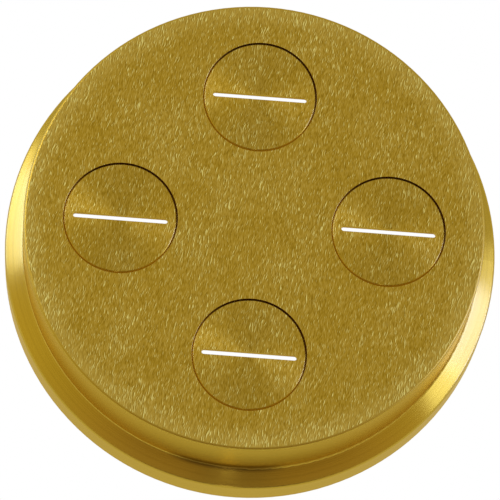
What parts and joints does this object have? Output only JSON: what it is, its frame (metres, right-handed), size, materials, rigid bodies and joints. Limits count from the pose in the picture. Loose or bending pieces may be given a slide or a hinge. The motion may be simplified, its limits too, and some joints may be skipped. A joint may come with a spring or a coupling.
{
  "type": "pasta extrusion die",
  "caption": "Round brass die with a clamping flange and slotted inserts, through which an extruder presses dough into wide flat noodles.",
  "frame": {"origin": "centre of the feed face, which the die lies on", "axes": "+Z is the die's axis and the way the dough leaves; the slots run along X, turned 1.4 degrees from it; -Y is the side nearest to the viewer"},
  "size_m": [0.08, 0.08, 0.022],
  "materials": {
    "body_brass": "turned, with the extrusion face rubbed down in short straight strokes",
    "insert_brass": "turned, rubbed down flush with the body's face"
  },
  "bodies": {
    "root": {"die_body": "body_brass", "insert_right": "insert_brass", "insert_back": "insert_brass", "insert_left": "insert_brass", "insert_front": "insert_brass"}
  },
  "joints": []
}
